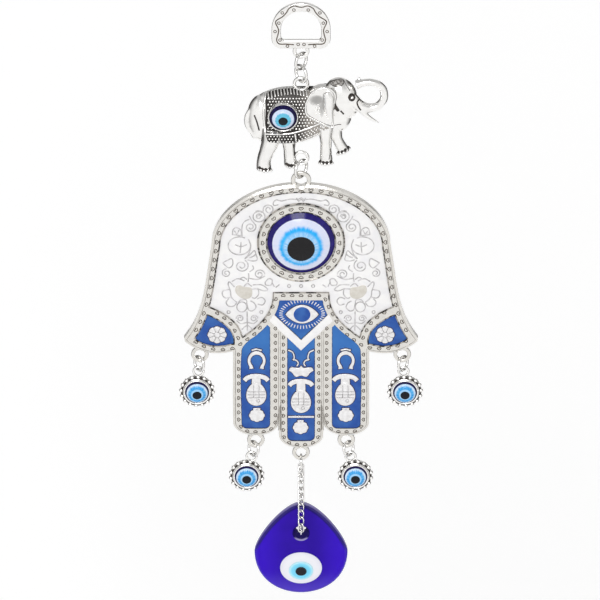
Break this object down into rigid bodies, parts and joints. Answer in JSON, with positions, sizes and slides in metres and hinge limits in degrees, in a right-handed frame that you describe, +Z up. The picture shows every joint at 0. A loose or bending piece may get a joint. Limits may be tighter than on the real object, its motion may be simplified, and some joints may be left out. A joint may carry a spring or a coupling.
{
  "type": "hanging hamsa charm",
  "caption": "Hanging mirror charm: a D-shaped hanger, a relief elephant, an enamelled hand plate with a domed eye and beaded eye charms, and a glass eye drop on a doubled curb chain.",
  "frame": {"origin": "top of the hanger's opening, where a cord bears, in the middle of its thickness", "axes": "+Z up along the hanging line, -Y to the enamelled front, +X to the right seen from the front"},
  "size_m": [0.0918, 0.0123, 0.2473],
  "materials": {
    "silver": "silver plated zinc casting, polished",
    "antique_silver": "silver plated zinc casting, darkened in its recesses",
    "white_enamel": "glossy resin enamel",
    "blue_enamel": "glossy resin enamel",
    "eye_glass": "glossy printed cabochon",
    "eye_print": "printed disc",
    "clear_dome": "clear glass dome",
    "cobalt_glass": "cobalt glass, fire polished",
    "white_glass": "opaque glass",
    "pale_blue_glass": "opaque glass",
    "black_glass": "opaque glass"
  },
  "bodies": {
    "hanger": {"hanger": "silver"},
    "upper_ring": {"upper_ring": "silver"},
    "elephant_ring": {"elephant_ring": "silver"},
    "elephant": {"elephant_body": "antique_silver", "elephant_eye": "eye_glass"},
    "hamsa_ring": {"hamsa_ring": "silver"},
    "hamsa": {"hamsa_plate": "silver", "palm_enamel": "white_enamel", "thumb_enamel_left": "blue_enamel", "thumb_enamel_right": "blue_enamel", "eye_panel_enamel": "blue_enamel", "chevron_enamel": "white_enamel", "finger_enamel_left": "blue_enamel", "finger_enamel_middle": "blue_enamel", "finger_enamel_right": "blue_enamel", "palm_eye_print": "eye_print", "palm_eye_dome": "clear_dome"},
    "left_thumb_ring": {"left_thumb_ring": "silver"},
    "left_thumb_charm": {"left_thumb_charm": "antique_silver", "left_thumb_eye": "eye_glass"},
    "left_finger_ring": {"left_finger_ring": "silver"},
    "left_finger_charm": {"left_finger_charm": "antique_silver", "left_finger_eye": "eye_glass"},
    "right_finger_ring": {"right_finger_ring": "silver"},
    "right_finger_charm": {"right_finger_charm": "antique_silver", "right_finger_eye": "eye_glass"},
    "right_thumb_ring": {"right_thumb_ring": "silver"},
    "right_thumb_charm": {"right_thumb_charm": "antique_silver", "right_thumb_eye": "eye_glass"},
    "chain_ring": {"chain_ring": "silver"},
    "chain_level_1": {"chain_front_1": "silver", "chain_back_1": "silver"},
    "chain_level_2": {"chain_front_2": "silver", "chain_back_2": "silver"},
    "chain_level_3": {"chain_front_3": "silver", "chain_back_3": "silver"},
    "chain_level_4": {"chain_front_4": "silver", "chain_back_4": "silver"},
    "chain_level_5": {"chain_front_5": "silver", "chain_back_5": "silver"},
    "chain_level_6": {"chain_front_6": "silver", "chain_back_6": "silver"},
    "chain_level_7": {"chain_front_7": "silver", "chain_back_7": "silver"},
    "chain_level_8": {"chain_front_8": "silver", "chain_back_8": "silver"},
    "chain_level_9": {"chain_front_9": "silver", "chain_back_9": "silver"},
    "chain_sling": {"chain_sling_1": "silver", "chain_sling_2": "silver", "chain_sling_3": "silver"},
    "glass_drop": {"glass_drop": "cobalt_glass", "drop_eye_white": "white_glass", "drop_eye_blue": "pale_blue_glass", "drop_eye_pupil": "black_glass"}
  },
  "joints": [
    {"name": "upper_ring_swing", "type": "hinge", "parent": "hanger", "child": "upper_ring", "pos_m": [0, 0, -0.0166], "axis": [0, 1, 0], "range_deg": [-30, 30]},
    {"name": "elephant_ring_swing", "type": "hinge", "parent": "upper_ring", "child": "elephant_ring", "pos_m": [0, 0, -0.02405], "axis": [0.6, 0.8, 0], "range_deg": [-25, 25]},
    {"name": "elephant_swing", "type": "hinge", "parent": "elephant_ring", "child": "elephant", "pos_m": [0, 0, -0.02915], "axis": [0.6, -0.8, 0], "range_deg": [-20, 20]},
    {"name": "hamsa_ring_swing", "type": "hinge", "parent": "elephant", "child": "hamsa_ring", "pos_m": [0, 0, -0.061], "axis": [0, 1, 0], "range_deg": [-12, 12]},
    {"name": "hamsa_swing", "type": "hinge", "parent": "hamsa_ring", "child": "hamsa", "pos_m": [0, 0, -0.06895], "axis": [0.6, 0.8, 0], "range_deg": [-12, 12]},
    {"name": "left_thumb_ring_swing", "type": "hinge", "parent": "hamsa", "child": "left_thumb_ring", "pos_m": [-0.038, 0, -0.14326], "axis": [0, 1, 0], "range_deg": [-15, 15]},
    {"name": "left_thumb_charm_swing", "type": "hinge", "parent": "left_thumb_ring", "child": "left_thumb_charm", "pos_m": [-0.03847, 0, -0.14994], "axis": [0.5985, -0.8, -0.0419], "range_deg": [-18, 18]},
    {"name": "left_finger_ring_swing", "type": "hinge", "parent": "hamsa", "child": "left_finger_ring", "pos_m": [-0.017, 0, -0.1793], "axis": [0, 1, 0], "range_deg": [-20, 20]},
    {"name": "left_finger_charm_swing", "type": "hinge", "parent": "left_finger_ring", "child": "left_finger_charm", "pos_m": [-0.01851, 0, -0.18583], "axis": [0.5846, -0.8, -0.135], "range_deg": [-18, 18]},
    {"name": "right_finger_ring_swing", "type": "hinge", "parent": "hamsa", "child": "right_finger_ring", "pos_m": [0.017, 0, -0.1793], "axis": [0, 1, 0], "range_deg": [-20, 20]},
    {"name": "right_finger_charm_swing", "type": "hinge", "parent": "right_finger_ring", "child": "right_finger_charm", "pos_m": [0.01851, 0, -0.18583], "axis": [0.5846, 0.8, 0.135], "range_deg": [-18, 18]},
    {"name": "right_thumb_ring_swing", "type": "hinge", "parent": "hamsa", "child": "right_thumb_ring", "pos_m": [0.038, 0, -0.14326], "axis": [0, 1, 0], "range_deg": [-15, 15]},
    {"name": "right_thumb_charm_swing", "type": "hinge", "parent": "right_thumb_ring", "child": "right_thumb_charm", "pos_m": [0.03847, 0, -0.14994], "axis": [0.5985, 0.8, 0.0419], "range_deg": [-18, 18]},
    {"name": "chain_ring_swing", "type": "hinge", "parent": "hamsa", "child": "chain_ring", "pos_m": [0, 0, -0.1872], "axis": [1, 0, 0], "range_deg": [-20, 20]},
    {"name": "chain_level_1_swing", "type": "hinge", "parent": "chain_ring", "child": "chain_level_1", "pos_m": [0, 0, -0.19041], "axis": [0, 1, 0], "range_deg": [-15, 15]},
    {"name": "chain_level_2_swing", "type": "hinge", "parent": "chain_level_1", "child": "chain_level_2", "pos_m": [0, 0, -0.19324], "axis": [0, -1, 0], "range_deg": [-15, 15]},
    {"name": "chain_level_3_swing", "type": "hinge", "parent": "chain_level_2", "child": "chain_level_3", "pos_m": [0, 0, -0.19608], "axis": [0, 1, 0], "range_deg": [-15, 15]},
    {"name": "chain_level_4_swing", "type": "hinge", "parent": "chain_level_3", "child": "chain_level_4", "pos_m": [0, 0, -0.19891], "axis": [0, -1, 0], "range_deg": [-15, 15]},
    {"name": "chain_level_5_swing", "type": "hinge", "parent": "chain_level_4", "child": "chain_level_5", "pos_m": [0, 0, -0.20175], "axis": [0, 1, 0], "range_deg": [-15, 15]},
    {"name": "chain_level_6_swing", "type": "hinge", "parent": "chain_level_5", "child": "chain_level_6", "pos_m": [0, 0, -0.20459], "axis": [0, -1, 0], "range_deg": [-15, 15]},
    {"name": "chain_level_7_swing", "type": "hinge", "parent": "chain_level_6", "child": "chain_level_7", "pos_m": [0, 0, -0.20749], "axis": [0, 1, 0], "range_deg": [-15, 15]},
    {"name": "chain_level_8_swing", "type": "hinge", "parent": "chain_level_7", "child": "chain_level_8", "pos_m": [0, 0, -0.21039], "axis": [0, -1, 0], "range_deg": [-15, 15]},
    {"name": "chain_level_9_swing", "type": "hinge", "parent": "chain_level_8", "child": "chain_level_9", "pos_m": [0, 0, -0.21329], "axis": [0, 1, 0], "range_deg": [-15, 15]},
    {"name": "chain_sling_swing", "type": "hinge", "parent": "chain_level_9", "child": "chain_sling", "pos_m": [0, 0, -0.21656], "axis": [0, 1, 0], "range_deg": [-12, 12]},
    {"name": "glass_drop_swing", "type": "hinge", "parent": "chain_sling", "child": "glass_drop", "pos_m": [0, 0, -0.21656], "axis": [0, -1, 0], "range_deg": [-25, 25]}
  ]
}
